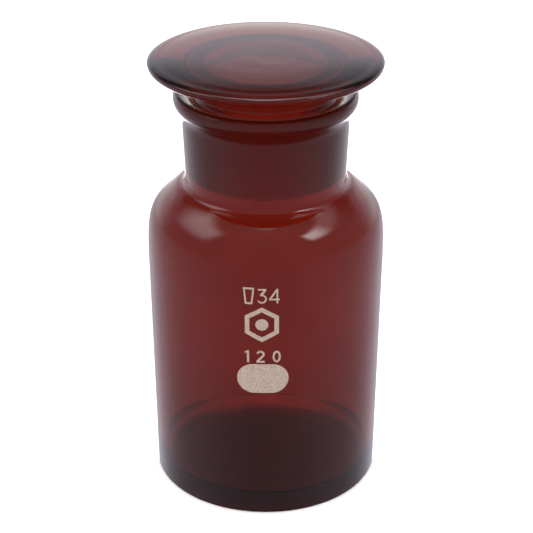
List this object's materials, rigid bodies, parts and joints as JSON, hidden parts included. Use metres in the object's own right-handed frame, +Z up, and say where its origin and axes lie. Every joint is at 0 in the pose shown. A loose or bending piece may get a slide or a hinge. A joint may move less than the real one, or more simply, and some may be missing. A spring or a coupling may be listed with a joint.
{
  "type": "reagent bottle",
  "caption": "Wide-necked amber glass bottle with a sloping shoulder, rolled lip and a lift-off flat disc stopper ground to fit the neck; plain enamel marks on the front.",
  "frame": {"origin": "centre of the standing ring under the bottle, on the bottle's axis", "axes": "+Z up along the bottle's axis towards the stopper, -Y out of the front, where the enamel marks are"},
  "size_m": [0.057, 0.0571, 0.1077],
  "materials": {
    "amber_bottle_glass": "polished",
    "amber_stopper_glass": "polished",
    "fired_enamel": "matte"
  },
  "bodies": {
    "bottle": {"bottle": "amber_bottle_glass", "joint_sign": "fired_enamel", "joint_digit_3": "fired_enamel", "joint_digit_4": "fired_enamel", "emblem_hexagon": "fired_enamel", "emblem_dot": "fired_enamel", "capacity_digit_1": "fired_enamel", "capacity_digit_2": "fired_enamel", "capacity_digit_0": "fired_enamel", "marking_spot": "fired_enamel"},
    "stopper": {"stopper": "amber_stopper_glass"}
  },
  "joints": [
    {"name": "stopper_lift", "type": "slide", "parent": "bottle", "child": "stopper", "axis": [0, 0, 1], "range_m": [0, 0.035]}
  ]
}
